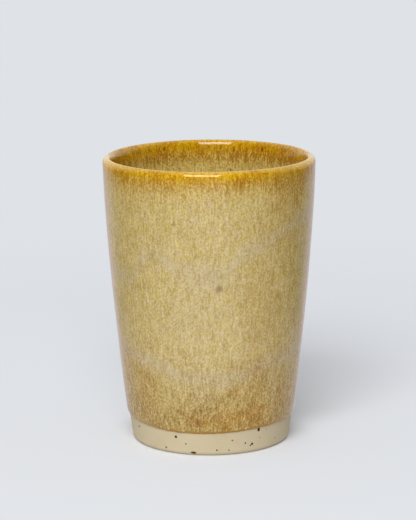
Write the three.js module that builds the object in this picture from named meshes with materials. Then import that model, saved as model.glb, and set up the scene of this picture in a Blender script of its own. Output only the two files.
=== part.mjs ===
// Tall handleless stoneware cup: a thrown clay body with a bare, trimmed foot, a liner glaze poured inside
// and an outer glaze dipped from the lip down to a wandering glaze line. Sizes are in millimetres and angles
// in radians. +Z is up, the origin is on the cup's axis at the table, and the front of the cup faces -Y.
import * as THREE from "three";

// Driving dimensions of the clay body
const cupHeight = 110; // table to the top of the glazed lip
const rimDiameter = 81; // over the glazed lip
const footDiameter = 60.6; // over the bare clay, just above its rounded bottom edge
const wallBow = 1.4; // swell of the wall outside a straight taper, at mid-height
const lipThickness = 3.5; // clay at the lip, which is fully rounded
const lipRiseOutside = 2.4; // height over which the lip rounds off outside
const lipRiseInside = 5.5; // height over which it rounds off inside, where it is softer
const wallThickness = 4.6; // clay where the wall meets the floor
const floorThickness = 5.5; // clay on the axis
const hollowCorner = 10; // height and width of the round between wall and floor, inside
const footEdge = 1.8; // radius of the foot's bottom edge
const standingRing = 4.5; // width of the flat ring that the cup stands on
const dishDepth = 1.2; // hollow trimmed under the floor, on the axis

// Driving dimensions of the glaze
const glazeLine = 9.65; // mean height of the outer glaze's lower edge
const glazeWander = 0.8; // how far that edge strays up and down
const broadLobes = 2; // rises of its broad stray round the cup, which is lowest at the front
const fineLobes = 3; // rises of its finer stray
const fineShare = 0.3; // share of the stray that is fine
const glazeWall = 0.35; // thickness on the walls
const glazeLip = 0.2; // thickness over the lip, where the melt runs thin
const glazeFade = 14; // depth below the lip over which the coat gains its full thickness
const glazeRoll = 0.75; // thickness of the roll that gathers along the lower edge
const rollHeight = 1.2; // height over which the roll rounds off
const gatherHeight = 36; // height above the roll over which the coat thins to its thickness on the walls
const glazePool = 0.8; // thickness where the liner gathers on the floor

// Smoothness of the solids
const turnSteps = 64; // facets around the axis
const wallSteps = 7; // rings up each wall
const arcSteps = 4; // rings in each quarter round

// Heights and radii that follow from the dimensions
const lipCrest = cupHeight - glazeLip;
const lipBase = lipCrest - lipRiseOutside;
const lipRadius = rimDiameter / 2 - glazeLip;
const lipMiddle = lipRadius - lipThickness / 2;
const footRadius = footDiameter / 2;
const ringOuter = footRadius - footEdge;
const ringInner = ringOuter - standingRing;
const hollowFloor = dishDepth + floorThickness;
const cornerTop = hollowFloor + hollowCorner;
// The clay is a plain cone from the foot's edge up to the top of this band, where the glaze line strays
const bandTop = glazeLine + glazeWander + 2 * rollHeight;

const { lerp, smoothstep, clamp } = THREE.MathUtils;
const quarterTurn = Math.PI / 2;
const at = (radius, height) => new THREE.Vector2(radius, height);
const shares = (count) => Array.from({ length: count }, (_, i) => (i + 1) / count);

// Clay outside: a straight taper from foot to lip with a parabolic swell.
function outerRadius(height) {
  const rise = (height - footEdge) / (lipBase - footEdge);
  return lerp(footRadius, lipRadius, rise) + 4 * wallBow * rise * (1 - rise);
}

// Clay inside: the wall thickens evenly from the lip down to the floor.
function innerRadius(height) {
  const depth = clamp((lipBase - height) / (lipBase - hollowFloor), 0, 1);
  return outerRadius(height) - lerp(lipThickness, wallThickness, depth);
}

// The points of a quarter of an oval after its first.
function quarterOval(centre, halfWidth, halfHeight, startAngle) {
  return shares(arcSteps).map((share) => {
    const angle = startAngle + share * quarterTurn;
    return at(centre.x + halfWidth * Math.cos(angle), centre.y + halfHeight * Math.sin(angle));
  });
}

// One side of the lip: a quarter oval between the wall and the crest, which leans as the wall does.
function lipSide(radiusAt, rise, startAngle) {
  const base = lipCrest - rise;
  const lean = radiusAt(base) - radiusAt(base - 1);
  const halfWidth = Math.abs(radiusAt(base) + rise * lean - lipMiddle);
  const upright = quarterOval(at(lipMiddle, base), halfWidth, rise, startAngle);
  return upright.map((point) => at(point.x + (point.y - lipCrest) * lean, point.y));
}

// The points of a wall after its first, from one height to another.
function wallRings(radiusAt, from, to) {
  return shares(wallSteps).map((share) => {
    const height = lerp(from, to, share);
    return at(radiusAt(height), height);
  });
}

// Underside and foot: a dished middle, the flat standing ring and the rounded edge.
const dish = new THREE.QuadraticBezierCurve(at(0, dishDepth), at(ringInner / 2, dishDepth), at(ringInner, 0));
const footProfile = [
  ...dish.getPoints(arcSteps),
  at(ringOuter, 0),
  ...quarterOval(at(ringOuter, footEdge), footEdge, footEdge, -quarterTurn),
];

// Outside of the wall, from the top of the plain band to the crest of the lip.
const outerProfile = [
  at(outerRadius(bandTop), bandTop),
  ...wallRings(outerRadius, bandTop, lipBase),
  ...lipSide(outerRadius, lipRiseOutside, 0),
];

// Inside, from just past the crest down the wall and round the corner to the middle of the floor.
const corner = new THREE.QuadraticBezierCurve(
  at(innerRadius(cornerTop), cornerTop),
  at(innerRadius(hollowFloor), hollowFloor),
  at(innerRadius(hollowFloor) - hollowCorner, hollowFloor),
);
const innerProfile = [
  ...lipSide(innerRadius, lipRiseInside, quarterTurn),
  ...wallRings(innerRadius, lipCrest - lipRiseInside, cornerTop),
  ...corner.getPoints(2 * arcSteps).slice(1),
  at(0, hollowFloor),
];

// The clay that carries glaze, in one run over the lip, and the direction that the glaze builds up in.
const skin = [...outerProfile, ...innerProfile];
const crestIndex = outerProfile.length - 1;
const skinOutward = skin.map((_, i) => {
  const before = skin[Math.max(i - 1, 0)];
  const after = skin[Math.min(i + 1, skin.length - 1)];
  const along = after.clone().sub(before).normalize();
  return at(along.y, -along.x);
});

// The coat is thin over the lip and gains its full thickness below it. Outside it gathers low on the wall,
// and inside it pools on the floor.
function glazeThickness(index) {
  const height = skin[index].y;
  const coat = lerp(glazeWall, glazeLip, smoothstep(height, lipCrest - glazeFade, lipCrest));
  if (index <= crestIndex) {
    const gathered = 1 - smoothstep(height, bandTop, bandTop + gatherHeight);
    return coat + (glazeRoll - glazeWall) * gathered;
  }
  const pooled = 1 - smoothstep(height, hollowFloor, cornerTop);
  return coat + (glazePool - glazeWall) * pooled;
}

const coatSurface = skin.map((point, i) => point.clone().addScaledVector(skinOutward[i], glazeThickness(i)));

// The roll along the glaze line: a quarter of an ellipse that stands on the plain band of clay.
const bandFoot = at(footRadius, footEdge);
const bandSlope = outerProfile[0].clone().sub(bandFoot).normalize();
const bandOutward = at(bandSlope.y, -bandSlope.x);
const onBand = (height) => bandFoot.clone().addScaledVector(bandSlope, (height - footEdge) / bandSlope.y);
const rollProfile = [0, ...shares(arcSteps)].map((share) => {
  const lift = rollHeight * (1 - Math.cos(share * quarterTurn));
  return onBand(glazeLine + lift).addScaledVector(bandOutward, glazeRoll * Math.sin(share * quarterTurn));
});

// How far the glaze line strays from its mean height, at an angle from the front towards +X.
function wander(angle) {
  return glazeWander * lerp(-Math.cos(broadLobes * angle), Math.sin(fineLobes * angle), fineShare);
}

// Slides the first rings of a turned shape, and the last one that closes it, up and down the plain band.
function strayAlongBand(geometry, profileLength, ringCount) {
  const position = geometry.getAttribute("position");
  const point = new THREE.Vector3();
  for (let i = 0; i < position.count; i++) {
    const ring = i % profileLength;
    if (ring >= ringCount && ring < profileLength - 1) continue;
    point.fromBufferAttribute(position, i);
    const rise = wander(Math.atan2(point.x, point.z));
    const radius = Math.hypot(point.x, point.z);
    const spread = 1 + (rise * bandSlope.x) / bandSlope.y / radius;
    position.setXYZ(i, point.x * spread, point.y + rise, point.z * spread);
  }
}

function namedMesh(name, profile, material) {
  const mesh = new THREE.Mesh(new THREE.LatheGeometry(profile, turnSteps), material);
  mesh.name = name;
  return mesh;
}

const bareClay = new THREE.MeshStandardMaterial({ color: 0xcdbfa2, roughness: 0.85, metalness: 0 });
const strawGlaze = new THREE.MeshStandardMaterial({ color: 0xb79a55, roughness: 0.2, metalness: 0 });

function clayBody() {
  return namedMesh("clay_body", [...footProfile, ...skin], bareClay);
}

function outerGlaze() {
  const free = [...rollProfile, ...coatSurface.slice(0, crestIndex + 1)];
  const backing = [...outerProfile].reverse();
  const profile = [...free, ...backing, rollProfile[0]];
  const mesh = namedMesh("outer_glaze", profile, strawGlaze);
  strayAlongBand(mesh.geometry, profile.length, rollProfile.length);
  return mesh;
}

function linerGlaze() {
  const free = coatSurface.slice(crestIndex);
  const backing = skin.slice(crestIndex).reverse();
  return namedMesh("liner_glaze", [...backing, ...free], strawGlaze);
}

// The shapes are turned about +Y, so the cup is tipped up to stand along +Z.
const standing = new THREE.Group();
standing.rotation.x = quarterTurn;
standing.add(clayBody(), outerGlaze(), linerGlaze());

const cup = new THREE.Group();
cup.add(standing);

export default cup;
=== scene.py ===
"""Tall handleless stoneware cup: a thrown clay body with a bare speckled foot and two coats of straw glaze.

Sizes are in metres in Blender, and in millimetres where a name or comment says so. The front faces -Y.
"""

import math
from functools import reduce

import bpy
from bpy.props import FloatProperty, FloatVectorProperty, IntProperty, PointerProperty
from mathutils import Matrix, Vector


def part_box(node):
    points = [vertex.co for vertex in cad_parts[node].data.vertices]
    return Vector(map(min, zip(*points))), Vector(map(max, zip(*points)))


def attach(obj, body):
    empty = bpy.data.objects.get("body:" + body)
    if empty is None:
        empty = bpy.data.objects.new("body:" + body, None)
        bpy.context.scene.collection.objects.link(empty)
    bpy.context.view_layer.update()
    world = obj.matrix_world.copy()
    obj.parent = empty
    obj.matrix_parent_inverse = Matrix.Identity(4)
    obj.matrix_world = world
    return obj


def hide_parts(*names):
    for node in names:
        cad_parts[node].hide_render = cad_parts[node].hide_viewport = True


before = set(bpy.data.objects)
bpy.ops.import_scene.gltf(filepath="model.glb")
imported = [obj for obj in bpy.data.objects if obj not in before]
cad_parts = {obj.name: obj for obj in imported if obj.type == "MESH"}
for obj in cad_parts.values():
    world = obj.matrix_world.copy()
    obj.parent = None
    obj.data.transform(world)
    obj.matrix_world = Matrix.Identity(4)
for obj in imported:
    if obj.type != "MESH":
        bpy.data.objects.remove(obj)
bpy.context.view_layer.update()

bl_info = {
    "name": "Tall stoneware cup",
    "version": (1, 0, 0),
    "blender": (4, 5, 0),
    "location": "3D View > Sidebar > Cup",
    "description": "Dresses the packed cup in thrown, glazed stoneware and sets its studio stage",
    "category": "Object",
}

MM = 0.001
BODY = "root"

# Reaches of the solids that the pieces follow, in metres
_, GLAZE_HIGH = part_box("outer_glaze")
_, CLAY_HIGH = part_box("clay_body")
LINER_LOW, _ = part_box("liner_glaze")

# The photograph's frame, and the camera that matches its outline
PHOTO_WIDTH, PHOTO_HEIGHT = 416, 520
SENSOR = 36.0
FOCAL_PIXELS = 2293.4
EYE = Vector((0.0, -861.4, 249.5)) * MM
AIM = Vector((-0.65, 0.0, 69.25)) * MM
ROLL = -0.0075

# Direction in which the shadow falls on the table, from the cup's axis
SHADOW_SIDE = (0.42, 0.91, 0.0)

# Iron specks in the bare foot: photograph pixel across and down, then width and height in millimetres
FOOT_SPECKS = {
    "left edge": (139.3, 426.2, 0.7, 0.8),
    "left under the glaze": (175.8, 436.8, 1.0, 1.0),
    "left low": (166.1, 447.3, 0.75, 0.6),
    "left middle": (185.8, 443.9, 0.55, 0.55),
    "largest, on the bottom edge": (193.4, 452.6, 1.9, 0.9),
    "right at the glaze": (258.6, 429.6, 1.05, 1.5),
    "small rusty": (232.3, 440.5, 0.6, 0.5),
    "right small": (245.3, 443.1, 0.55, 0.65),
    "right pair, large": (252.0, 443.8, 0.95, 0.9),
    "right pair, small": (250.3, 445.4, 0.6, 0.5),
    "rusty low": (216.8, 450.2, 0.65, 0.6),
    "faint low": (228.9, 450.2, 0.6, 0.5),
    "faint right": (259.8, 437.7, 0.4, 0.4),
    "far right": (274.7, 437.4, 0.4, 0.4),
    "right edge at the glaze": (288.4, 414.8, 0.7, 0.9),
    "beside the right one": (266.2, 429.2, 0.4, 0.4),
}

# Iron that bled into the glaze: photograph pixel across and down, width and run in millimetres, and strength
OUTER_BLEEDS = {
    "middle of the wall": (218.8, 289.6, 3.0, 3.2, 0.55),
    "under the lip, right": (277, 187, 0.9, 5.0, 0.4),
    "low right": (262.5, 377, 1.1, 5.0, 0.5),
    "low far right": (277, 391, 1.0, 6.0, 0.5),
    "low middle": (201, 411, 1.2, 3.0, 0.6),
    "low middle, near the line": (198, 423, 1.8, 4.0, 0.6),
    "low centre": (214, 417, 0.9, 4.0, 0.5),
    "low left": (180.5, 413, 0.9, 2.6, 0.5),
    "left edge": (131, 386, 0.9, 6.0, 0.4),
    "lip, left": (120.9, 173.2, 1.0, 1.4, 0.5),
    "lip, left of middle": (146.5, 173.6, 0.8, 1.2, 0.5),
}
LINER_BLEEDS = {
    "left": (164.6, 148.8, 1.3, 2.4, 0.8),
    "middle run": (220.8, 147.5, 0.9, 6.0, 0.6),
    "right of the middle": (233.7, 149.6, 1.0, 4.0, 0.75),
    "right, faint": (246.5, 149.6, 0.9, 5.0, 0.5),
    "right": (262.0, 149.2, 1.4, 2.6, 0.95),
    "far right, faint": (273.0, 148.0, 0.9, 4.0, 0.4),
    "low": (230.7, 170.0, 1.1, 1.8, 0.8),
}

# Milky seams where one dip of the glaze ends over another: photograph pixels along each, from left to right
MILKY_SEAMS = {
    "upper": [(116, 272), (130, 277), (152, 255), (182, 272), (220, 278), (241, 255), (266, 244), (302, 217)],
    "lower": [(125, 347), (157, 365), (181, 376), (206, 380), (242, 376), (265, 364), (289, 353)],
}

# Patches in the melt: photograph pixel across and down, width and height in millimetres, and strength
MILKY_PATCHES = {
    "middle of the wall": (206, 277, 22, 13, 0.8),
    "under it": (190, 318, 26, 26, 0.3),
    "above the line": (203, 396, 16, 10, 0.35),
}
# Browner melt, mostly along the left and right of the wall, where it also darkens the sides as painted shade
TOFFEE_AND_SHADE_PATCHES = {
    "upper left": (126, 212, 18, 44, 0.25),
    "upper right": (284, 215, 22, 50, 0.6),
    "right": (264, 305, 24, 46, 0.4),
    "right edge": (290, 285, 12, 80, 0.25),
    "low right": (278, 352, 14, 26, 0.5),
    "low left": (129, 366, 12, 22, 0.5),
    "beside the lower seam": (246, 372, 18, 14, 0.4),
    "left edge": (127, 310, 12, 40, 0.15),
}
RUSTY_PATCHES = {
    "low right": (256, 413, 21, 13, 0.9),
    "above the low right": (252, 392, 24, 14, 0.4),
    "along the line, right": (252, 421, 20, 8, 0.8),
    "right of the middle": (233, 419, 16, 10, 0.8),
    "middle": (206, 422, 18, 7, 0.6),
    "low left": (144, 386, 18, 34, 0.45),
    "right edge": (260, 374, 16, 18, 0.45),
    "low right edge": (283, 392, 14, 22, 0.55),
    "lip, left": (124, 171, 30, 5, 0.5),
    "under the lip, left": (129, 184, 14, 9, 0.4),
    "under the lip, right": (283, 187, 18, 11, 0.4),
    "under the lip, far right": (300, 190, 13, 13, 0.6),
}


def srgb(red, green, blue):
    """The linear colour of a screen colour from 0 to 255."""
    shares = [value / 255 for value in (red, green, blue)]
    return tuple(s / 12.92 if s <= 0.04045 else ((s + 0.055) / 1.055) ** 2.4 for s in shares)


def length(name, description, millimetres):
    return FloatProperty(
        name=name, description=description, default=millimetres * MM, unit="LENGTH", precision=5
    )


def angle(name, description, degrees):
    return FloatProperty(name=name, description=description, default=math.radians(degrees), subtype="ANGLE")


def colour(name, description, *screen):
    return FloatVectorProperty(
        name=name, description=description, default=srgb(*screen), subtype="COLOR", size=3, min=0, max=1
    )


def amount(name, description, default, low=0.0, high=1.0):
    return FloatProperty(name=name, description=description, default=default, min=low, max=high)


class CupSizes(bpy.types.PropertyGroup):
    """Sizes of the thrown body and its two coats of glaze."""

    height: length("Height", "Table to the top of the glazed lip", GLAZE_HIGH.z / MM)
    clay_height: length("Clay height", "Table to the crest of the clay lip", CLAY_HIGH.z / MM)
    clay_rim_radius: length("Clay rim radius", "Over the clay lip", CLAY_HIGH.x / MM)
    hollow_floor: length("Hollow floor", "Table to the clay floor inside", LINER_LOW.z / MM)
    foot_radius: length("Foot radius", "Bare clay just above its bottom edge", 30.3)
    wall_bow: length("Wall bow", "Swell of the wall outside a straight taper", 1.4)
    lip_thickness: length("Lip thickness", "Clay at the rounded lip", 3.5)
    lip_rise_outside: length("Lip rise outside", "Height over which the lip rounds off outside", 2.4)
    lip_rise_inside: length("Lip rise inside", "Height over which the lip rounds off inside", 5.5)
    wall_thickness: length("Wall thickness", "Clay where the wall meets the floor", 4.6)
    hollow_corner: length("Hollow corner", "Round between wall and floor inside", 10)
    foot_edge: length("Foot edge", "Radius of the foot's bottom edge", 1.8)
    standing_ring: length("Standing ring", "Width of the flat ring under the foot", 4.5)
    dish_depth: length("Dish depth", "Hollow trimmed under the floor", 1.2)
    glaze_line: length("Glaze line", "Mean height of the outer glaze's lower edge", 9.65)
    glaze_wander: length("Glaze wander", "How far the glaze line strays", 0.8)
    glaze_ragged: length("Glaze raggedness", "Fine unevenness of the glaze line", 0.22)
    glaze_wall: length("Glaze on the wall", "Thickness of the coats", 0.35)
    glaze_fade: length("Glaze fade", "Depth below the lip where the coat is thinner", 14)
    glaze_roll: length("Glaze roll", "Thickness gathered along the glaze line", 0.75)
    gather_height: length("Gather height", "Height over which the gathered glaze thins to the wall's", 36)
    roll_height: length("Roll height", "Height over which the roll rounds off", 1.2)
    glaze_pool: length("Glaze pool", "Thickness of the liner on the floor", 0.8)
    rim_sag: length("Rim sag", "How far the rim dips at the left and right", 0.1)
    unevenness: length("Unevenness", "Slow stray of the hand-thrown wall", 0.12)
    throwing_ripple: length("Throwing ripple", "Depth of the finger rings inside", 0.05)
    turn_steps: IntProperty(name="Turn steps", description="Faces round the cup", default=320, min=32)


class GlazeFinish(bpy.types.PropertyGroup):
    """Colours and gloss of the straw-coloured glaze."""

    crystal: colour("Crystal", "Pale crystals that cloud the melt", 223, 204, 172)
    straw: colour("Straw", "Yellower crystals among them", 216, 197, 109)
    honey: colour("Honey", "Clear melt between them", 162, 132, 56)
    amber: colour("Amber", "Clear melt where it breaks thin over the lip", 219, 173, 4)
    deep_amber: colour("Deep amber", "Streaks in the amber", 157, 93, 0)
    gold: colour("Gold", "Crystals in the amber", 216, 184, 96)
    # Toffee and biscuit colour the browner patches, which are partly painted shade along the sides of the
    # wall
    toffee_and_shade: colour("Toffee", "Clear melt in the browner patches", 158, 121, 46)
    biscuit_and_shade: colour("Biscuit", "Crystals in the browner patches", 213, 187, 122)
    rust: colour("Rust", "Clear melt towards the glaze line", 136, 102, 28)
    tan: colour("Tan", "Crystals towards the glaze line", 220, 196, 126)
    ember: colour("Ember", "Clear melt in the rusty patches", 155, 105, 4)
    clinker: colour("Clinker", "Crystals in the rusty patches", 206, 164, 66)
    milk: colour("Milk", "Crystals in the cloudy patches", 203, 188, 154)
    iron: colour("Iron", "Bled iron spots", 110, 56, 6)
    edge: colour("Edge", "Thin line along the lower edge", 170, 120, 6)
    seam_reach: length("Seam reach", "Height over which a milky seam fades out", 3.4)
    seam_strength: amount("Seam strength", "How milky the seams are", 0.7)
    grain: length("Grain", "Width of the crystals", 0.6)
    cloud_size: length("Cloud size", "Width of the slow clouds in the melt", 22)
    break_outside: length("Break outside", "Depth over which the amber gives way, outside", 6.5)
    break_inside: length("Break inside", "Depth over which the amber gives way, inside", 8.8)
    rust_rise: length("Rust rise", "Height of the rusty part above the table", 46)
    roughness: amount("Roughness", "Of the fired surface", 0.07)
    refraction: amount("Refraction", "Index of refraction of the glaze", 1.55, 1.0, 3.0)


class ClayFinish(bpy.types.PropertyGroup):
    """Colours of the bare clay."""

    buff: colour("Buff", "Bare fired clay", 206, 191, 157)
    sand: colour("Sand", "Coarser grains in it", 188, 170, 134)
    iron: colour("Iron", "Specks in it", 78, 36, 12)
    rust: colour("Rust", "Paler specks", 128, 76, 34)
    roughness: amount("Roughness", "Of the trimmed foot", 0.75)
    speck_roughness: amount("Speck roughness", "Of the burnt iron", 0.85)
    speck_density: amount("Speck density", "Scattered specks in a square metre", 16000, 0, 100000)
    speck_smallest: length("Smallest speck", "Width of the smallest scattered speck", 0.3)
    speck_largest: length("Largest speck", "Width of the largest scattered speck", 1.3)
    speck_seed: IntProperty(name="Speck seed", description="Draw of the scattered specks", default=5)


class StageSettings(bpy.types.PropertyGroup):
    """Floor, lamps and surroundings."""

    floor: colour("Floor", "Table, as bounced light sees it", 228, 231, 236)
    warm: colour("Warm", "Ceiling and back as the glaze mirrors them", 226, 221, 212)
    rosy: colour("Rosy", "Table, as reflections see it", 226, 215, 224)
    table: colour("Table", "Table, as it is seen", 237, 240, 246)
    pale: colour("Pale", "Surroundings as the camera sees them", 223, 226, 230)
    plain_radius: length("Plain radius", "Distance at which the floor has become plain background", 450)
    open_share: amount("Open share", "How plain the table is on the sides away from the shadow", 0.6)
    contact_inner: length("Contact inner", "Where the foot's own shade starts to fade, from the axis", 31)
    contact_outer: length("Contact outer", "Where that shade has faded, from the axis", 46)
    lamp_azimuth: angle("Lamp azimuth", "Where both lamps stand, from the front towards the right", -9)
    lamp_distance: length("Lamp distance", "From the middle of the cup to each lamp", 2400)
    lamp_width: length("Lamp width", "Of each lamp", 1440)
    lamp_height: length("Lamp height", "Of each lamp", 1030)
    key_elevation: angle("Key elevation", "Of the wide soft lamp", 42)
    key_power: amount("Key power", "Watts of the wide soft lamp", 35.8, 0, 1000)
    fill_elevation: angle("Fill elevation", "Of the low lamp under it", 25)
    fill_power: amount("Fill power", "Watts of the low lamp, too soft to be mirrored", 9.6, 0, 1000)
    sky_azimuth: angle("Sky azimuth", "Where the even light is strongest, counted as for the lamps", -100)
    near_sky: amount("Near sky", "Strength of the light from the left", 0.14, 0, 10)
    far_sky: amount("Far sky", "Strength of the light from the right", 0.0, 0, 10)
    top_sky: amount("Top sky", "Strength of the light from above", 0.575, 0, 10)
    board_width: length("Board width", "Distance to each side where reflections see the room instead", 235)
    table_sheen: amount("Table sheen", "How brightly reflections see the table", 0.93)
    ceiling: amount("Ceiling", "How bright the ceiling and the back are in reflections", 1.6, 0, 10)
    front_room: amount("Front room", "How bright reflections see the room beside the camera", 0.05)


# Profiles of the turned pieces


def shares(count):
    """Even steps after 0, up to 1."""
    return [(i + 1) / count for i in range(count)]


def lerp(low, high, share):
    return low + (high - low) * share


def smooth(value, low, high):
    share = min(max((value - low) / (high - low), 0), 1)
    return share * share * (3 - 2 * share)


def arc(centre, half_width, half_height, start, count):
    """Points of a quarter of an oval after its first, anticlockwise from a start angle."""
    points = []
    for share in shares(count):
        turn = start + share * math.pi / 2
        reach = Vector((half_width * math.cos(turn), half_height * math.sin(turn)))
        points.append(Vector(centre) + reach)
    return points


def bend(start, control, end, count):
    """Points of a quadratic curve after its first."""
    points = []
    for t in shares(count):
        points.append(Vector(start) * (1 - t) ** 2 + Vector(control) * 2 * t * (1 - t) + Vector(end) * t * t)
    return points


class CupForm:
    """The cup's section, as points of radius and height from the axis out."""

    # Points along each stretch of it
    WALL, ARC, ROLL, CORNER, FLOOR, RING = 60, 14, 8, 20, 12, 4

    def __init__(self, sizes):
        self.s = sizes
        self.lip_base = sizes.clay_height - sizes.lip_rise_outside
        self.lip_middle = sizes.clay_rim_radius - sizes.lip_thickness / 2
        self.glaze_lip = sizes.height - sizes.clay_height
        self.corner_top = sizes.hollow_floor + sizes.hollow_corner
        self.roll_top = sizes.glaze_line + sizes.roll_height
        self.ring_outer = sizes.foot_radius - sizes.foot_edge
        self.ring_inner = self.ring_outer - sizes.standing_ring

    def outer_radius(self, height):
        s = self.s
        rise = (height - s.foot_edge) / (self.lip_base - s.foot_edge)
        return lerp(s.foot_radius, s.clay_rim_radius, rise) + 4 * s.wall_bow * rise * (1 - rise)

    def inner_radius(self, height):
        s = self.s
        depth = min((self.lip_base - height) / (self.lip_base - s.hollow_floor), 1)
        return self.outer_radius(height) - lerp(s.lip_thickness, s.wall_thickness, depth)

    def band_slope(self):
        """How fast the bare band widens upwards."""
        low, high = self.s.foot_edge, self.roll_top
        return (self.outer_radius(high) - self.outer_radius(low)) / (high - low)

    def foot(self):
        s = self.s
        dish_edge = (self.ring_inner, 0)
        dish = bend((0, s.dish_depth), (self.ring_inner / 2, s.dish_depth), dish_edge, self.FLOOR)
        ring = [Vector((lerp(self.ring_inner, self.ring_outer, t), 0)) for t in shares(self.RING)]
        edge = arc((self.ring_outer, s.foot_edge), s.foot_edge, s.foot_edge, -math.pi / 2, self.ARC)
        return [Vector((0, s.dish_depth)), *dish, *ring, *edge]

    def wall(self, radius_at, low, high):
        heights = [lerp(low, high, t) for t in shares(self.WALL)]
        return [Vector((radius_at(h), h)) for h in heights]

    def lip(self, radius_at, rise, start):
        """Half of the lip: a quarter oval between the crest and the wall, leaning as the wall does."""
        crest = self.s.clay_height
        base = crest - rise
        lean = (radius_at(base) - radius_at(base - MM)) / MM
        half_width = abs(radius_at(base) + rise * lean - self.lip_middle)
        upright = arc((self.lip_middle, base), half_width, rise, start, self.ARC)
        return [Vector((p.x + (p.y - crest) * lean, p.y)) for p in upright]

    def outside(self, low):
        """Clay from a height on the wall to the crest of the lip."""
        start = [Vector((self.outer_radius(low), low))]
        wall = self.wall(self.outer_radius, low, self.lip_base)
        return start + wall + self.lip(self.outer_radius, self.s.lip_rise_outside, 0)

    def inside(self):
        """Clay from just past the crest to the middle of the floor."""
        s = self.s
        lip = self.lip(self.inner_radius, s.lip_rise_inside, math.pi / 2)
        wall = self.wall(self.inner_radius, s.clay_height - s.lip_rise_inside, self.corner_top)
        foot_of_wall = Vector((self.inner_radius(s.hollow_floor), s.hollow_floor))
        floor_edge = foot_of_wall - Vector((s.hollow_corner, 0))
        corner = bend(wall[-1], foot_of_wall, floor_edge, self.CORNER)
        floor = [Vector((floor_edge.x * (1 - t), s.hollow_floor)) for t in shares(self.FLOOR)]
        return lip + wall + corner + floor

    def coated(self, skin, crest):
        """The glaze over each point of the skin: thin on the lip, full on the walls, deep on the floor."""
        s = self.s
        surface = []
        for i, point in enumerate(skin):
            along = (skin[min(i + 1, len(skin) - 1)] - skin[max(i - 1, 0)]).normalized()
            near_lip = smooth(point.y, s.clay_height - s.glaze_fade, s.clay_height)
            thickness = lerp(s.glaze_wall, self.glaze_lip, near_lip)
            if i > crest:
                pooled = 1 - smooth(point.y, s.hollow_floor, self.corner_top)
                thickness += (s.glaze_pool - s.glaze_wall) * pooled
            surface.append(point + Vector((along.y, -along.x)) * thickness)
        return surface

    def clay_profile(self):
        return [(p, 0.0) for p in self.foot() + self.outside(self.s.foot_edge)[1:] + self.inside()]

    def outer_glaze_profile(self):
        """The roll, the free surface and its backing, each point with its share of the glaze line's stray."""
        s = self.s
        outside = self.outside(self.roll_top)
        crest = len(outside) - 1
        surface = self.coated(outside + self.inside(), crest)[: crest + 1]
        roll = []
        for share in [0, *shares(self.ROLL)[:-1]]:
            height = self.roll_top - s.roll_height * math.cos(share * math.pi / 2)
            lift = s.glaze_roll * math.sin(share * math.pi / 2)
            roll.append(Vector((self.outer_radius(height) + lift, height)))
        for point in surface:
            gathered = 1 - smooth(point.y, self.roll_top, self.roll_top + s.gather_height)
            point.x += (s.glaze_roll - s.glaze_wall) * gathered
        ring = roll + surface + outside[::-1] + roll[:1]
        steady = self.roll_top + 4 * s.roll_height
        return [(p, 1 - smooth(p.y, self.roll_top, steady)) for p in ring]

    def liner_profile(self):
        outside = self.outside(self.roll_top)
        crest = len(outside) - 1
        skin = outside + self.inside()
        surface = self.coated(skin, crest)[crest:]
        return [(p, 0.0) for p in skin[crest:][::-1] + surface]


# Node trees


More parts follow.
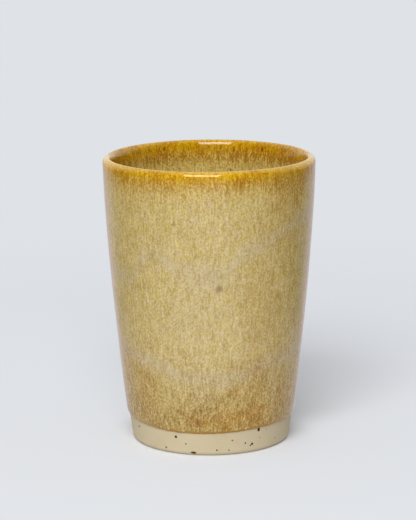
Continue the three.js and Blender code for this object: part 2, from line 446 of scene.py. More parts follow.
class Wiring:
    """Adds nodes to one tree and links them, so that a formula reads as a line of calls."""

    def __init__(self, tree):
        self.tree = tree

    def node(self, kind, **settings):
        made = self.tree.nodes.new(kind)
        for name, value in settings.items():
            setattr(made, name, value)
        return made

    def feed(self, socket, value):
        if isinstance(value, bpy.types.NodeSocket):
            self.tree.links.new(value, socket)
        elif socket.type == "RGBA":
            socket.default_value = (*value[:3], 1.0)
        else:
            socket.default_value = value

    def made(self, kind, fed, **settings):
        """A node with its named inputs fed."""
        node = self.node(kind, **settings)
        for name, value in fed.items():
            self.feed(node.inputs[name], value)
        return node

    def listed(self, kind, values, **settings):
        """A node with its inputs fed in order."""
        node = self.node(kind, **settings)
        for socket, value in zip(node.inputs, values):
            self.feed(socket, value)
        return node

    def math(self, operation, *values):
        return self.listed("ShaderNodeMath", values, operation=operation).outputs[0]

    def total(self, *values):
        return reduce(lambda first, second: self.math("ADD", first, second), values)

    def product(self, *values):
        return reduce(lambda first, second: self.math("MULTIPLY", first, second), values)

    def blend(self, low, high, share):
        return self.math("MULTIPLY_ADD", share, self.math("SUBTRACT", high, low), low)

    def vector(self, operation, *values):
        node = self.listed("ShaderNodeVectorMath", values, operation=operation)
        return node.outputs["Value" if operation in {"LENGTH", "DOT_PRODUCT"} else "Vector"]

    def split(self, vector):
        return tuple(self.listed("ShaderNodeSeparateXYZ", [vector]).outputs)

    def combine(self, x, y, z):
        return self.listed("ShaderNodeCombineXYZ", (x, y, z)).outputs[0]

    def fade(self, value, start, end, low=0.0, high=1.0):
        """A smooth step from low at start to high at end."""
        fed = {"Value": value, "From Min": start, "From Max": end, "To Min": low, "To Max": high}
        return self.made("ShaderNodeMapRange", fed, interpolation_type="SMOOTHSTEP").outputs["Result"]

    def bell(self, depth, scale):
        """1 at no depth, falling along a bell curve to about a third at the scale."""
        ratio = self.math("DIVIDE", depth, scale)
        return self.math("EXPONENT", self.product(ratio, ratio, -1))

    def noise(self, vector, scale, detail=2.0, roughness=0.5):
        fed = {"Vector": vector, "Scale": scale, "Detail": detail, "Roughness": roughness}
        return self.made("ShaderNodeTexNoise", fed)

    def stir(self, vector, scale, detail=2.0, roughness=0.5):
        """Noise about 0."""
        return self.math("SUBTRACT", self.noise(vector, scale, detail, roughness).outputs["Fac"], 0.5)

    def stretched(self, vector, share):
        """A place with its height scaled, so that a pattern over it is drawn out upright."""
        return self.vector("MULTIPLY", vector, (1, 1, share))

    def mix(self, share, first, second):
        """A blend of two colours, by the sockets that the node has for colours."""
        node = self.node("ShaderNodeMix", data_type="RGBA", clamp_factor=True)
        for index, value in ((0, share), (6, first), (7, second)):
            self.feed(node.inputs[index], value)
        return node.outputs[2]

    def stored(self, geometry, name, value, kind, domain="POINT"):
        """The geometry with a named value stored on it."""
        fed = {"Geometry": geometry, "Name": name, "Value": value}
        return self.made("GeometryNodeStoreNamedAttribute", fed, data_type=kind, domain=domain).outputs[0]

    def named(self, name, kind):
        """A value that is stored on the geometry by name."""
        node = self.made("GeometryNodeInputNamedAttribute", {"Name": name}, data_type=kind)
        return node.outputs["Attribute"]

    def picked(self, geometry, value, index, kind):
        """A value on the points of another geometry, at an index."""
        fed = {"Geometry": geometry, "Value": value, "Index": index}
        return self.made("GeometryNodeSampleIndex", fed, data_type=kind, domain="POINT").outputs["Value"]

    def smoothed(self, geometry):
        fed = {"Geometry": geometry, "Shade Smooth": True}
        return self.made("GeometryNodeSetShadeSmooth", fed).outputs[0]

    def dressed(self, geometry, material):
        """The geometry made real, with its material set."""
        whole = self.made("GeometryNodeRealizeInstances", {"Geometry": geometry}).outputs[0]
        return self.made("GeometryNodeSetMaterial", {"Geometry": whole, "Material": material}).outputs[0]


def new_tree(name, kind, inputs, outputs):
    """A node tree with named sockets, its wiring, and the sockets where its values arrive and leave."""
    tree = bpy.data.node_groups.new(name, kind)
    for in_out, sockets in (("INPUT", inputs), ("OUTPUT", outputs)):
        for label, socket_kind in sockets.items():
            tree.interface.new_socket(name=label, in_out=in_out, socket_type="NodeSocket" + socket_kind)
    wiring = Wiring(tree)
    arriving = wiring.node("NodeGroupInput").outputs
    leaving = wiring.node("NodeGroupOutput").inputs
    return tree, wiring, arriving, leaving


def shared_tree(name, build):
    """A node tree by name, built the first time that it is asked for."""
    return bpy.data.node_groups.get(name) or build()


# Shares of the glaze line's two broad lobes and its three finer ones
BROAD_LOBES, FINE_LOBES = -0.7, 0.3

# Noise round the cup: the line's raggedness, and the wall's swell with its climb for each metre of height
RAGGED_SCALE, RAGGED_GAIN = 12.0, 4.0
SWELL_SCALE, SWELL_GAIN, SWELL_CLIMB = 0.9, 2.0, 30.0

# Turn of the throwing spiral for each metre of height, in radians
SPIRAL_CLIMB = 1400.0

# Points closer than this are one, in metres
WELD = 1e-6


def turned_form_tree():
    """Turns a profile about the cup's axis, with the stray of the glaze line and of the hand-thrown wall."""
    inputs = {
        "Profile": "Geometry",
        "Turn Steps": "Int",
        "Profile Points": "Int",
        "Glaze Line": "Float",
        "Wander": "Float",
        "Ragged": "Float",
        "Band Slope": "Float",
        "Rim Height": "Float",
        "Rim Sag": "Float",
        "Unevenness": "Float",
        "Ripple": "Float",
        "Material": "Material",
    }
    tree, w, given, result = new_tree("turned_form", "GeometryNodeTree", inputs, {"Form": "Geometry"})
    fed = {
        "Size X": 1.0,
        "Size Y": 1.0,
        "Vertices X": w.total(given["Turn Steps"], 1),
        "Vertices Y": given["Profile Points"],
    }
    grid = w.made("GeometryNodeMeshGrid", fed)
    position = w.node("GeometryNodeInputPosition").outputs[0]
    across, along, _ = w.split(position)
    turn = w.product(w.total(across, 0.5), math.tau)
    sine, cosine = w.math("SINE", turn), w.math("COSINE", turn)
    twice = w.math("COSINE", w.product(turn, 2))
    last = w.math("SUBTRACT", given["Profile Points"], 1)
    index = w.math("ROUND", w.product(w.total(along, 0.5), last))

    # The profile's point and its share of the stray
    radius, _, height = w.split(w.picked(given["Profile"], position, index, "FLOAT_VECTOR"))
    stray = w.picked(given["Profile"], w.named("stray", "FLOAT"), index, "FLOAT")

    # The glaze line wanders in two broad lobes and three finer ones, and is finely ragged
    thrice = w.math("SINE", w.product(turn, 3))
    lobes = w.total(w.product(twice, BROAD_LOBES), w.product(thrice, FINE_LOBES))
    rough = w.stir(w.combine(sine, cosine, 0.0), RAGGED_SCALE, detail=3.0, roughness=0.8)
    ragged = w.product(rough, given["Ragged"], RAGGED_GAIN)
    line_rise = w.total(w.product(lobes, given["Wander"]), ragged)
    rise = w.product(stray, line_rise)
    height = w.total(height, rise)
    radius = w.math("MULTIPLY_ADD", rise, given["Band Slope"], radius)

    # The rim dips a little at the sides, the wall strays slowly and fingers left a faint spiral
    reach = w.math("POWER", w.math("DIVIDE", height, given["Rim Height"]), 2)
    dip = w.product(w.math("SUBTRACT", twice, 1), 0.5, given["Rim Sag"])
    height = w.math("MULTIPLY_ADD", dip, reach, height)
    slow = w.stir(w.combine(sine, cosine, w.product(height, SWELL_CLIMB)), SWELL_SCALE, detail=1.0)
    off_axis = w.math("GREATER_THAN", radius, MM)
    radius = w.total(radius, w.product(slow, SWELL_GAIN, given["Unevenness"], reach, off_axis))
    spiral = w.math("SINE", w.math("MULTIPLY_ADD", height, SPIRAL_CLIMB, turn))
    radius = w.math("MULTIPLY_ADD", w.product(spiral, given["Ripple"]), reach, radius)

    place = w.combine(w.product(radius, sine), w.product(radius, cosine, -1), height)
    above = w.math("SUBTRACT", height, w.total(given["Glaze Line"], line_rise))
    form = w.stored(grid.outputs["Mesh"], "UVMap", grid.outputs["UV Map"], "FLOAT2", "CORNER")
    form = w.stored(form, "above_line", above, "FLOAT")
    form = w.made("GeometryNodeSetPosition", {"Geometry": form, "Position": place}).outputs[0]
    form = w.made("GeometryNodeMergeByDistance", {"Geometry": form, "Distance": WELD}).outputs[0]
    w.feed(result["Form"], w.dressed(w.smoothed(form), given["Material"]))
    return tree


def speck_tree():
    """Sets iron specks at placed points, and scatters more over the bare clay away from the front."""
    inputs = {
        "Placed": "Geometry",
        "Clay": "Object",
        "Band Low": "Float",
        "Band High": "Float",
        "Band Radius": "Float",
        "Dish High": "Float",
        "Dish Radius": "Float",
        "Density": "Float",
        "Smallest": "Float",
        "Largest": "Float",
        "Flatness": "Float",
        "Lumpiness": "Float",
        "Seed": "Int",
        "Material": "Material",
    }
    tree, w, given, result = new_tree("iron_specks", "GeometryNodeTree", inputs, {"Specks": "Geometry"})
    clay = w.made("GeometryNodeObjectInfo", {"Object": given["Clay"]}, transform_space="RELATIVE")
    x, y, z = w.split(w.node("GeometryNodeInputPosition").outputs[0])
    radius = w.math("SQRT", w.total(w.product(x, x), w.product(y, y)))

    # Bare clay is the dish underneath, and the band behind the front above the foot's rounded edge
    in_dish = w.math("LESS_THAN", radius, given["Dish Radius"])
    dish = w.product(w.math("LESS_THAN", z, given["Dish High"]), in_dish)
    above = w.math("GREATER_THAN", z, given["Band Low"])
    below = w.math("LESS_THAN", z, given["Band High"])
    outside = w.math("GREATER_THAN", radius, given["Band Radius"])
    behind = w.math("GREATER_THAN", y, 0.0)
    fed = {
        "Mesh": clay.outputs["Geometry"],
        "Selection": w.math("MAXIMUM", dish, w.product(above, below, outside, behind)),
        "Density": given["Density"],
        "Seed": given["Seed"],
    }
    scatter = w.made("GeometryNodeDistributePointsOnFaces", fed, distribute_method="RANDOM")
    skewed = w.made("FunctionNodeRandomValue", {"Seed": given["Seed"]}, data_type="FLOAT").outputs[1]
    width = w.blend(given["Smallest"], given["Largest"], w.math("POWER", skewed, 3))
    scattered = w.stored(scatter.outputs["Points"], "spread", w.combine(width, width, 0.0), "FLOAT_VECTOR")
    scattered = w.stored(scattered, "facing", scatter.outputs["Normal"], "FLOAT_VECTOR")
    placed = w.made("GeometryNodeMeshToPoints", {"Mesh": given["Placed"]})
    points = w.node("GeometryNodeJoinGeometry")
    w.feed(points.inputs[0], scattered)
    w.feed(points.inputs[0], placed.outputs[0])

    # One lumpy grain, flattened into the surface with its width level
    grain = w.made("GeometryNodeMeshIcoSphere", {"Radius": 0.5, "Subdivisions": 3})
    spot = w.node("GeometryNodeInputPosition").outputs[0]
    lumps = w.product(w.stir(spot, scale=2.6), given["Lumpiness"])
    swell = w.vector("MULTIPLY", spot, w.combine(lumps, lumps, lumps))
    lumpy = w.made("GeometryNodeSetPosition", {"Geometry": grain.outputs["Mesh"], "Offset": swell})
    facing = w.named("facing", "FLOAT_VECTOR")
    level = w.vector("CROSS_PRODUCT", (0.0, 0.0, 1.0), facing)
    outward = w.made("FunctionNodeAlignRotationToVector", {"Vector": facing}, axis="Z")
    fed = {"Rotation": outward.outputs[0], "Vector": level}
    turned = w.made("FunctionNodeAlignRotationToVector", fed, axis="X", pivot_axis="Z")
    wide, high, _ = w.split(w.named("spread", "FLOAT_VECTOR"))
    thick = w.product(w.math("MINIMUM", wide, high), given["Flatness"])
    fed = {
        "Points": points.outputs[0],
        "Instance": w.smoothed(lumpy.outputs[0]),
        "Rotation": turned.outputs[0],
        "Scale": w.combine(wide, high, thick),
    }
    specks = w.made("GeometryNodeInstanceOnPoints", fed)
    w.feed(result["Specks"], w.dressed(specks.outputs[0], given["Material"]))
    return tree


def plain_mesh(name, points, edges, attributes):
    """A mesh of points and edges, with named values at its points."""
    mesh = bpy.data.meshes.new(name)
    mesh.from_pydata(points, edges, [])
    for label, (kind, values) in attributes.items():
        layer = mesh.attributes.new(label, kind, "POINT")
        layer.data.foreach_set("vector" if kind == "FLOAT_VECTOR" else "value", values)
    return mesh


def piece_from_tree(name, mesh, tree, values):
    """An object whose mesh is what a geometry node tree makes of another mesh."""
    piece = bpy.data.objects.new(name, mesh)
    bpy.context.scene.collection.objects.link(piece)
    modifier = piece.modifiers.new(name, "NODES")
    modifier.node_group = tree
    for item in tree.interface.items_tree:
        if item.item_type == "SOCKET" and item.in_out == "INPUT" and item.name in values:
            modifier[item.identifier] = values[item.name]
    depsgraph = bpy.context.evaluated_depsgraph_get()
    made = bpy.data.meshes.new_from_object(
        piece.evaluated_get(depsgraph), preserve_all_data_layers=True, depsgraph=depsgraph
    )
    piece.modifiers.clear()
    piece.data = made
    made.name = name
    bpy.data.meshes.remove(mesh)
    if not made.polygons:
        raise RuntimeError(f"{name} came out empty")
    return piece


def turned_piece(name, profile, form, material=None, ripple=0.0):
    """One of the cup's turned pieces, from its profile."""
    s = form.s
    points = [(p.x, 0.0, p.y) for p, _ in profile]
    edges = [(i, i + 1) for i in range(len(points) - 1)]
    mesh = plain_mesh(name + "_profile", points, edges, {"stray": ("FLOAT", [stray for _, stray in profile])})
    values = {
        "Turn Steps": s.turn_steps,
        "Profile Points": len(points),
        "Glaze Line": s.glaze_line,
        "Wander": s.glaze_wander,
        "Ragged": s.glaze_ragged,
        "Band Slope": form.band_slope(),
        "Rim Height": s.height,
        "Rim Sag": s.rim_sag,
        "Unevenness": s.unevenness,
        "Ripple": ripple,
        "Material": material,
    }
    return piece_from_tree(name, mesh, shared_tree("turned_form", turned_form_tree), values)


# The photograph's camera


def camera_frame():
    """The camera's right, up and forward directions."""
    forward = (AIM - EYE).normalized()
    level = forward.cross(Vector((0, 0, 1))).normalized()
    upright = level.cross(forward)
    right = level * math.cos(ROLL) + upright * math.sin(ROLL)
    return right, right.cross(forward), forward


def seen_at(piece, across, down):
    """Where a pixel of the photograph falls on a piece, and the surface's direction there."""
    right, up, forward = camera_frame()
    ray = forward * FOCAL_PIXELS + right * (across - PHOTO_WIDTH / 2) + up * (PHOTO_HEIGHT / 2 - down)
    bpy.context.view_layer.update()
    hit, point, normal, _ = piece.ray_cast(EYE, ray.normalized())
    if not hit:
        raise RuntimeError(f"pixel {across}, {down} misses {piece.name}")
    return point, normal


def places_on(piece, marks):
    """Centres in millimetres on a piece, with each mark's width, height and strength."""
    return [(seen_at(piece, across, down)[0] / MM, *sizes) for across, down, *sizes in marks.values()]


def seams_on(piece, seams):
    """Places in millimetres along each seam on a piece."""
    return [[seen_at(piece, *pixel)[0] / MM for pixel in pixels] for pixels in seams.values()]


# Finishes


def melt_tree():
    """The pattern that the melt leaves: crystals strung out in upright streaks, runs and slow clouds."""
    inputs = {"Position": "Vector", "Width": "Float", "Cloud Size": "Float"}
    outputs = dict.fromkeys(("Crystals", "Tint", "Run", "Cloud"), "Float")
    tree, w, given, result = new_tree("melt_pattern", "ShaderNodeTree", inputs, outputs)
    place = given["Position"]
    fine = w.math("DIVIDE", 1.0, given["Width"])
    slow = w.math("DIVIDE", 1.0, given["Cloud Size"])

    # Layers of the crystals: height scale, which draws them out upright, then fineness, detail and weight
    layers = {
        "grain": (0.7, fine, 1.0, 5.1),
        "streak": (0.09, fine, 1.0, 2.8),
        "cluster": (0.6, w.product(fine, 0.25), 2.0, 1.7),
    }
    parts = []
    for upright, fineness, detail, weight in layers.values():
        parts.append(w.product(w.stir(w.stretched(place, upright), fineness, detail), weight))
    w.feed(result["Crystals"], w.total(*parts))

    # The tint is a grain of its own, so it is taken from another place in the noise
    aside = w.vector("ADD", w.stretched(place, 0.6), (31.0, 17.0, 5.0))
    w.feed(result["Tint"], w.stir(aside, fine, detail=1.0))
    w.feed(result["Run"], w.stir(w.stretched(place, 0.15), w.product(fine, 0.5), detail=2.0, roughness=0.6))
    w.feed(result["Cloud"], w.stir(w.stretched(place, 0.7), slow, detail=3.0, roughness=0.55))
    return tree


def patch_tree():
    """A soft ragged patch round a centre, for bled iron and for clouds in the melt."""
    inputs = dict.fromkeys(("Position", "Centre"), "Vector")
    inputs |= dict.fromkeys(("Width", "Height", "Strength"), "Float")
    tree, w, given, result = new_tree("soft_patch", "ShaderNodeTree", inputs, {"Mask": "Float"})
    raggedness = w.math("DIVIDE", 1.6, given["Width"])
    stirred = w.noise(given["Position"], raggedness, detail=3.0).outputs["Color"]
    half_width = w.product(given["Width"], 0.5)
    half_height = w.product(given["Height"], 0.5)
    offset = w.vector("SUBTRACT", given["Position"], given["Centre"])
    scaled = w.vector("DIVIDE", offset, w.combine(half_width, half_width, half_height))
    shaken = w.vector("ADD", scaled, w.vector("SUBTRACT", stirred, (0.5, 0.5, 0.5)))

    # Full near the centre, and gone a little past the half width
    soft = w.fade(w.vector("LENGTH", shaken), 1.35, 0.15)
    w.feed(result["Mask"], w.product(soft, given["Strength"]))
    return tree


def new_material(name):
    """An empty node material with its surface shader in place."""
    material = bpy.data.materials.new(name)
    material.use_nodes = True
    material.node_tree.nodes.clear()
    w = Wiring(material.node_tree)
    shader = w.node("ShaderNodeBsdfPrincipled")
    output = w.node("ShaderNodeOutputMaterial")
    w.feed(output.inputs["Surface"], shader.outputs[0])
    return material, w, shader


def group(w, name, build, fed):
    """What a shared node group puts out for the values that it is fed."""
    return w.made("ShaderNodeGroup", fed, node_tree=shared_tree(name, build)).outputs


def position_in_millimetres(w):
    coordinates = w.node("ShaderNodeTexCoord").outputs["Object"]
    return w.vector("MULTIPLY", coordinates, (1 / MM,) * 3)


def relief(w, shader, strength, distance, height):
    """Fine relief that only the light feels."""
    bump = w.made("ShaderNodeBump", {"Strength": strength, "Distance": distance, "Height": height})
    w.feed(shader.inputs["Normal"], bump.outputs[0])


def patches(w, position, places):
    """The strongest of several soft patches, each from its centre, width, height and strength."""
    mask = None
    for centre, width, height, strength in places:
        fed = {"Position": position, "Centre": centre, "Width": width, "Height": height, "Strength": strength}
        patch = group(w, "soft_patch", patch_tree, fed)["Mask"]
        mask = w.math("MAXIMUM", mask, patch) if mask else patch
    return mask


class Coat:
    """One coat of the straw glaze: clear melt, clouded by pale crystals that thin out at its edges."""

    # How far the runs pull the amber down, in millimetres
    RUN_PULL = 2.5

    # Reach of what the lip does to the crystals, in widths of the amber band
    CLEARED, STARK, GOLDEN = 0.75, 1.5, 1.35

    # Cover of the crystals: its even part, and the weights of the melt's patterns in it
    EVEN_COVER = 0.25
    COVER = {"Cloud": 1.2, "Run": 1.5}

    # Depth of the amber: weights of the crystals and the melt's patterns, and what one band of depth adds
    AMBER_CRYSTALS = 0.9
    AMBER = {"Cloud": 6.0, "Run": 7.0}
    AMBER_GAIN = -2.6

    # From clear melt to full cover, from pale crystals to straw ones, and from amber to deep amber
    COVER_RANGE, TINT_RANGE, AMBER_RANGE = (-2.9, 3.3), (-0.24, 0.24), (1.4, -5.0)

    # How much starker the crystals stand where they are fewer
    STARKER_AT_LIP, STARKER_WHERE_THIN = 0.5, 0.3

    def __init__(self, name, finish, crest, band, clearing, burn):
        self.material, self.w, self.shader = new_material(name)
        w = self.w
        self.finish = finish
        self.position = position_in_millimetres(w)
        _, _, self.height = w.split(self.position)
        fed = {"Position": self.position, "Width": finish.grain / MM, "Cloud Size": finish.cloud_size / MM}
        self.melt = group(w, "melt_pattern", melt_tree, fed)
        below = w.math("SUBTRACT", crest, self.height)
        pulled = w.math("MULTIPLY_ADD", self.melt["Run"], self.RUN_PULL, below)
        depth = w.math("MAXIMUM", pulled, 0.0)

        # Crystals clear away over the lip, and those that stay stand out more
        stark = w.math("MULTIPLY_ADD", w.bell(depth, self.STARK * band), self.STARKER_AT_LIP, 1.0)
        strung = w.product(self.melt["Crystals"], stark)
        lip = w.product(w.bell(depth, self.CLEARED * band), -clearing)
        self.cover = w.total(strung, self.EVEN_COVER, self.weighed(self.COVER), lip)

        # The melt between them is amber there, streaked and deeper further down
        mottling = w.total(w.product(strung, self.AMBER_CRYSTALS), self.weighed(self.AMBER))
        deepening = w.total(mottling, w.product(depth, self.AMBER_GAIN / band), -burn)
        amber = w.mix(w.fade(deepening, *self.AMBER_RANGE), finish.amber, finish.deep_amber)
        self.clear = w.mix(w.bell(depth, band), finish.honey, amber)
        pale = w.mix(w.fade(self.melt["Tint"], *self.TINT_RANGE), finish.crystal, finish.straw)
        self.crystal = w.mix(w.bell(depth, self.GOLDEN * band), pale, finish.gold)

    def weighed(self, weights):
        """The sum of the melt's patterns, each times its weight."""
        return self.w.total(*[self.w.product(self.melt[name], weight) for name, weight in weights.items()])

    def thin(self, share, melt_colour, crystal_colour, loss):
        """Where the share is high the crystals are fewer, and melt and crystals take other colours."""
        w = self.w
        self.clear = w.mix(share, self.clear, melt_colour)
        self.crystal = w.mix(share, self.crystal, crystal_colour)
        stark = w.math("MULTIPLY_ADD", self.melt["Crystals"], self.STARKER_WHERE_THIN, -loss)
        self.cover = w.math("MULTIPLY_ADD", share, stark, self.cover)

    def surface(self, bleeds, milky=None, edge=None):
        """Joins melt and crystals, adds milky clouds, bled iron and the lower edge, and sets the shader."""
        w, finish = self.w, self.finish
        crystal = w.mix(milky, self.crystal, finish.milk) if milky else self.crystal
        base = w.mix(w.fade(self.cover, *self.COVER_RANGE), self.clear, crystal)
        base = w.mix(patches(w, self.position, bleeds), base, finish.iron)
        if edge:
            base = w.mix(edge, base, finish.edge)
        w.feed(self.shader.inputs["Base Color"], base)
        self.shader.inputs["Roughness"].default_value = finish.roughness
        self.shader.inputs["IOR"].default_value = finish.refraction
        relief(w, self.shader, strength=0.2, distance=0.2 * MM, height=self.melt["Cloud"])
        return self.material


def above_seam(w, position, places):
    """Height above a seam that wanders round the cup, from the places that it passes."""
    across, back, height = w.split(position)
    turn = w.math("ARCTAN2", across, w.product(back, -1.0))
    curve = w.made("ShaderNodeFloatCurve", {"Value": w.math("MULTIPLY_ADD", turn, 1 / math.tau, 0.5)})
    points = curve.mapping.curves[0].points
    tallest = max(place.z for place in places)
    behind = 0.5 * (places[0].z + places[-1].z) / tallest
    points[0].location = (0.0, behind)
    points[1].location = (1.0, behind)
    for place in places:
        points.new(0.5 + math.atan2(place.x, -place.y) / math.tau, place.z / tallest)
    curve.mapping.update()
    return w.math("SUBTRACT", height, w.product(curve.outputs[0], tallest))


def outer_glaze_material(finish, crest, piece):
    """The outer coat, with the seams, patches and spots that the photograph shows on it."""
    coat = Coat("outer_glaze", finish, crest / MM, finish.break_outside / MM, clearing=3.1, burn=0.2)
    w = coat.w
    run, crystals = coat.melt["Run"], coat.melt["Crystals"]

    # Browner patches, which along the left and right of the wall are also painted shade, rust towards the
    # glaze line and rusty patches, one over the other
    toffee_and_shade = patches(w, coat.position, places_on(piece, TOFFEE_AND_SHADE_PATCHES))
    coat.thin(toffee_and_shade, finish.toffee_and_shade, finish.biscuit_and_shade, loss=0.7)
    rust_rise = finish.rust_rise / MM
    sunk = w.total(coat.height, coat.weighed({"Cloud": 24.0, "Run": 26.0}))
    coat.thin(w.fade(sunk, rust_rise, 0.2 * rust_rise), finish.rust, finish.tan, loss=0.55)
    rusty = patches(w, coat.position, places_on(piece, RUSTY_PATCHES))
    grainy = w.fade(crystals, 1.8, -1.4, low=0.3)
    coat.thin(w.product(rusty, grainy), finish.ember, finish.clinker, loss=0.9)

    # Milky patches and seams, where the crystals lie closer
    milky = patches(w, coat.position, places_on(piece, MILKY_PATCHES))
    for places in seams_on(piece, MILKY_SEAMS):
        above = w.math("MULTIPLY_ADD", run, 4.0, above_seam(w, coat.position, places))
        seam = w.product(w.bell(above, finish.seam_reach / MM), finish.seam_strength)
        milky = w.math("MAXIMUM", milky, seam)
    coat.cover = w.math("MULTIPLY_ADD", milky, 0.6, coat.cover)

    # The thin line along the lower edge, broken by the crystals
    above_line = w.node("ShaderNodeAttribute", attribute_name="above_line").outputs["Fac"]
    broken = w.math("MULTIPLY_ADD", crystals, 0.12 * MM, above_line)
    ragged = w.math("MULTIPLY_ADD", run, 1.6 * MM, broken)
    edge = w.fade(ragged, 1.4 * MM, 0.5 * MM, high=0.95)
    return coat.surface(places_on(piece, OUTER_BLEEDS), milky, edge)


def liner_glaze_material(finish, crest, piece):
    """The liner, whose crystals are yellower, closer and starker than the outer coat's."""
    coat = Coat("liner_glaze", finish, crest / MM, finish.break_inside / MM, clearing=4.8, burn=1.1)
    coat.crystal = coat.w.mix(0.5, coat.crystal, finish.straw)
    coat.cover = coat.w.math("MULTIPLY_ADD", coat.melt["Crystals"], 0.3, coat.w.total(coat.cover, 0.3))
    return coat.surface(places_on(piece, LINER_BLEEDS))


def clay_material(finish):
    """Bare buff stoneware, trimmed smooth, with fine sand in it."""
    material, w, shader = new_material("bare_clay")
    position = position_in_millimetres(w)
    slow = w.stir(position, scale=0.12, detail=3.0)
    sand = w.stir(position, scale=3.0, detail=2.0, roughness=0.6)
    sandy = w.fade(w.total(sand, slow), 0.05, 0.5, high=0.8)
    w.feed(shader.inputs["Base Color"], w.mix(sandy, finish.buff, finish.sand))
    shader.inputs["Roughness"].default_value = finish.roughness
    trimming = w.stir(w.vector("MULTIPLY", position, (0.02, 0.02, 2.5)), scale=1.0, detail=2.0)
    grit = w.total(w.product(sand, 0.6), trimming)
    relief(w, shader, strength=0.3, distance=0.1 * MM, height=grit)
    return material


def speck_material(finish):
    """Iron that burnt out of the clay."""
    material, w, shader = new_material("iron_speck")
    burnt = w.fade(w.stir(position_in_millimetres(w), scale=1.1, detail=2.0), -0.12, 0.28)
    w.feed(shader.inputs["Base Color"], w.mix(burnt, finish.iron, finish.rust))
    shader.inputs["Roughness"].default_value = finish.speck_roughness
    shader.inputs["Specular IOR Level"].default_value = 0.2
    return material


# Operators


def finished(piece, node):
    """Attaches a piece so that it rides on the cup, and hides the solid that it stands for, if any."""
    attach(piece, BODY)
    if node:
        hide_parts(node)


def dress(piece, material):
    piece.data.materials.clear()
    piece.data.materials.append(material)


class CUP_OT_clay_body(bpy.types.Operator):
    """Makes the thrown and trimmed clay body"""

    bl_idname = "cup.clay_body"
    bl_label = "Clay body"

    def execute(self, context):
        form = CupForm(context.scene.cup_sizes)
        material = clay_material(context.scene.cup_clay)
        piece = turned_piece("thrown_body", form.clay_profile(), form, material)
        finished(piece, "clay_body")
        return {"FINISHED"}


class CUP_OT_outer_glaze(bpy.types.Operator):
    """Makes the outer glaze, from the lip down to its wandering line"""

    bl_idname = "cup.outer_glaze"
    bl_label = "Outer glaze"

    def execute(self, context):
        sizes = context.scene.cup_sizes
        form = CupForm(sizes)
        piece = turned_piece("dipped_glaze", form.outer_glaze_profile(), form)
        dress(piece, outer_glaze_material(context.scene.cup_glaze, sizes.height, piece))
        finished(piece, "outer_glaze")
        return {"FINISHED"}


class CUP_OT_liner_glaze(bpy.types.Operator):
    """Makes the liner glaze, from the lip down to the pool on the floor"""

    bl_idname = "cup.liner_glaze"
    bl_label = "Liner glaze"

    def execute(self, context):
        sizes = context.scene.cup_sizes
        form = CupForm(sizes)
        piece = turned_piece("poured_liner", form.liner_profile(), form, ripple=sizes.throwing_ripple)
        dress(piece, liner_glaze_material(context.scene.cup_glaze, sizes.height, piece))
        finished(piece, "liner_glaze")
        return {"FINISHED"}


class CUP_OT_iron_specks(bpy.types.Operator):
    """Sets the iron specks in the bare clay"""

    bl_idname = "cup.iron_specks"
    bl_label = "Iron specks"

    def execute(self, context):
        sizes, finish = context.scene.cup_sizes, context.scene.cup_clay
        form = CupForm(sizes)
        clay = bpy.data.objects["thrown_body"]
        points, facing, spreads = [], [], []
        for across, down, width, height in FOOT_SPECKS.values():
            point, normal = seen_at(clay, across, down)
            points.append(point)
            facing.extend(normal)
            spreads.extend((width * MM, height * MM, 0.0))
        attributes = {"facing": ("FLOAT_VECTOR", facing), "spread": ("FLOAT_VECTOR", spreads)}
        mesh = plain_mesh("placed_specks", points, [], attributes)
        values = {
            "Clay": clay,
            "Band Low": MM,
            "Band High": sizes.glaze_line - 2 * sizes.glaze_wander,
            "Band Radius": form.ring_outer,
            "Dish High": 2 * MM,
            "Dish Radius": form.ring_inner - MM,
            "Density": finish.speck_density,
            "Smallest": finish.speck_smallest,
            "Largest": finish.speck_largest,
            "Flatness": 0.14,
            "Lumpiness": 1.6,
            "Seed": finish.speck_seed,
            "Material": speck_material(finish),
        }
        piece = piece_from_tree("iron_specks", mesh, shared_tree("iron_specks", speck_tree), values)
        finished(piece, None)
        return {"FINISHED"}


def floor_mesh():
    """A wide round table top."""
    radius, sides = 6.0, 64
    points = [(0.0, 0.0, 0.0)]
    points += [(radius * math.cos(t * math.tau), radius * math.sin(t * math.tau), 0.0) for t in shares(sides)]
    faces = [(0, i, i % sides + 1) for i in range(1, sides + 1)]
    mesh = bpy.data.meshes.new("floor")
    mesh.from_pydata(points, [], faces)
    return mesh


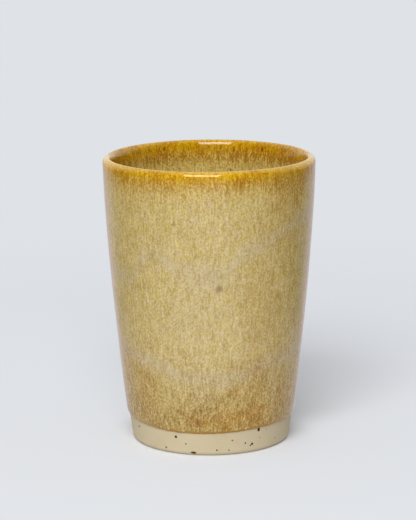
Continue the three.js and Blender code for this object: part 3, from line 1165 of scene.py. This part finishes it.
def floor_material(settings):
    """Matte and pale: plain background away from the cup, and darker at the sides in reflections."""
    material, w, shader = new_material("pale_floor")
    path = w.node("ShaderNodeLightPath").outputs
    camera, glossy = path["Is Camera Ray"], path["Is Glossy Ray"]
    w.feed(shader.inputs["Base Color"], w.mix(camera, settings.floor, settings.table))
    shader.inputs["Roughness"].default_value = 0.9
    shader.inputs["Specular IOR Level"].default_value = 0.1
    place = w.node("ShaderNodeTexCoord").outputs["Object"]
    across, back, _ = w.split(place)
    far = w.vector("LENGTH", place)

    # What reflections see: a bright board before and behind the cup
    width, sheen = settings.board_width, settings.table_sheen
    board = w.fade(w.math("ABSOLUTE", across), width, 0.3 * width, settings.front_room, sheen)
    mirrored = w.math("MAXIMUM", board, w.fade(w.math("DIVIDE", back, far), 0.3, 0.85, 0.0, sheen))
    tone = w.mix(glossy, settings.pale, settings.rosy)
    glow = w.made("ShaderNodeEmission", {"Color": tone, "Strength": w.blend(1.0, mirrored, glossy)})

    # What the camera sees: the table and its shadow near the cup, plain background elsewhere
    plain = w.fade(far, 0.1 * settings.plain_radius, settings.plain_radius)
    towards_shadow = w.vector("DOT_PRODUCT", w.vector("NORMALIZE", place), SHADOW_SIDE)
    past_foot = w.fade(far, settings.contact_inner, settings.contact_outer, 0.0, settings.open_share)
    open_side = w.product(past_foot, w.fade(towards_shadow, 0.95, 0.6))
    share = w.math("MAXIMUM", glossy, w.product(camera, w.math("MAXIMUM", plain, open_side)))
    both = w.listed("ShaderNodeMixShader", (share, shader.outputs[0], glow.outputs[0]))
    w.feed(material.node_tree.nodes["Material Output"].inputs["Surface"], both.outputs[0])
    return material


def studio_world(settings):
    """Pale where it is seen; as a light it is brighter above, and on the left than on the right."""
    world = bpy.data.worlds.new("studio")
    world.use_nodes = True
    world.node_tree.nodes.clear()
    w = Wiring(world.node_tree)
    path = w.node("ShaderNodeLightPath").outputs
    glossy = path["Is Glossy Ray"]
    direction = w.node("ShaderNodeTexCoord").outputs["Generated"]
    _, back, lift = w.split(direction)
    turn = settings.sky_azimuth
    brightest = Vector((math.sin(turn), -math.cos(turn), 0.5)).normalized()
    facing = w.vector("DOT_PRODUCT", direction, tuple(brightest))
    across = w.fade(facing, -0.2, 1.0, settings.far_sky, settings.near_sky)
    strength = w.math("MULTIPLY_ADD", w.math("MAXIMUM", lift, 0.0), settings.top_sky, across)
    light = w.made("ShaderNodeBackground", {"Color": (1.0, 1.0, 1.0), "Strength": strength})

    # Reflections see a bright ceiling and back, and a dim room beside the camera
    overhead = w.math("MULTIPLY_ADD", back, 0.8, lift)
    mirrored = w.fade(overhead, 0.1, 0.95, settings.front_room, settings.ceiling)
    tone = w.mix(glossy, settings.pale, settings.warm)
    seen = w.made("ShaderNodeBackground", {"Color": tone, "Strength": w.blend(1.0, mirrored, glossy)})
    directly = path["Is Camera Ray"]
    for kind in ("Is Glossy Ray", "Is Transmission Ray"):
        directly = w.math("MAXIMUM", directly, path[kind])
    both = w.listed("ShaderNodeMixShader", (directly, light.outputs[0], seen.outputs[0]))
    w.listed("ShaderNodeOutputWorld", [both.outputs[0]])
    return world


def soft_lamp(name, settings, elevation, power, target):
    """A wide soft lamp at the front, at an elevation from a point."""
    turn, level = settings.lamp_azimuth, math.cos(elevation)
    offset = Vector((math.sin(turn) * level, -math.cos(turn) * level, math.sin(elevation)))
    lamp = bpy.data.lights.new(name, "AREA")
    lamp.shape = "RECTANGLE"
    lamp.size = settings.lamp_width
    lamp.size_y = settings.lamp_height
    lamp.energy = power
    holder = bpy.data.objects.new(name, lamp)
    holder.location = target + offset * settings.lamp_distance
    holder.rotation_euler = (-offset).to_track_quat("-Z", "Y").to_euler()
    bpy.context.scene.collection.objects.link(holder)
    return holder


def photo_camera():
    """The camera that sees the cup as the photograph does."""
    camera = bpy.data.objects.new("camera", bpy.data.cameras.new("camera"))
    right, up, forward = camera_frame()
    turn = Matrix((right, up, -forward)).transposed()
    camera.matrix_world = Matrix.Translation(EYE) @ turn.to_4x4()
    camera.data.sensor_width = SENSOR
    camera.data.lens = FOCAL_PIXELS * SENSOR / PHOTO_HEIGHT
    bpy.context.scene.collection.objects.link(camera)
    return camera


class CUP_OT_stage(bpy.types.Operator):
    """Sets the floor, the lamps and the camera"""

    bl_idname = "cup.stage"
    bl_label = "Stage"

    def execute(self, context):
        scene = context.scene
        settings = scene.cup_stage
        floor = bpy.data.objects.new("floor", floor_mesh())
        floor.data.materials.append(floor_material(settings))
        scene.collection.objects.link(floor)
        scene.world = studio_world(settings)
        middle = Vector((0, 0, scene.cup_sizes.height / 2))
        soft_lamp("key", settings, settings.key_elevation, settings.key_power, middle)
        fill = soft_lamp("fill", settings, settings.fill_elevation, settings.fill_power, middle)
        fill.visible_glossy = False
        scene.camera = photo_camera()
        scene.view_settings.view_transform = "Standard"
        return {"FINISHED"}


class CUP_PT_panel(bpy.types.Panel):
    """Lists the cup's pieces and finishes"""

    bl_idname = "CUP_PT_panel"
    bl_label = "Tall cup"
    bl_space_type = "VIEW_3D"
    bl_region_type = "UI"
    bl_category = "Cup"

    def draw(self, context):
        for operator in OPERATORS:
            self.layout.operator(operator.bl_idname)
        for settings in SETTINGS:
            box = self.layout.box()
            group_of_settings = getattr(context.scene, settings)
            for name in group_of_settings.bl_rna.properties.keys():
                if name not in {"rna_type", "name"}:
                    box.prop(group_of_settings, name)


OPERATORS = (CUP_OT_stage, CUP_OT_clay_body, CUP_OT_outer_glaze, CUP_OT_liner_glaze, CUP_OT_iron_specks)
SETTINGS = {
    "cup_sizes": CupSizes,
    "cup_glaze": GlazeFinish,
    "cup_clay": ClayFinish,
    "cup_stage": StageSettings,
}


def register():
    for cls in (*SETTINGS.values(), *OPERATORS, CUP_PT_panel):
        bpy.utils.register_class(cls)
    for name, cls in SETTINGS.items():
        setattr(bpy.types.Scene, name, PointerProperty(type=cls))


def unregister():
    for name in SETTINGS:
        delattr(bpy.types.Scene, name)
    for cls in reversed((*SETTINGS.values(), *OPERATORS, CUP_PT_panel)):
        bpy.utils.unregister_class(cls)


def main():
    register()
    bpy.ops.cup.stage()
    bpy.ops.cup.clay_body()
    bpy.ops.cup.outer_glaze()
    bpy.ops.cup.liner_glaze()
    bpy.ops.cup.iron_specks()


if __name__ == "__main__":
    main()
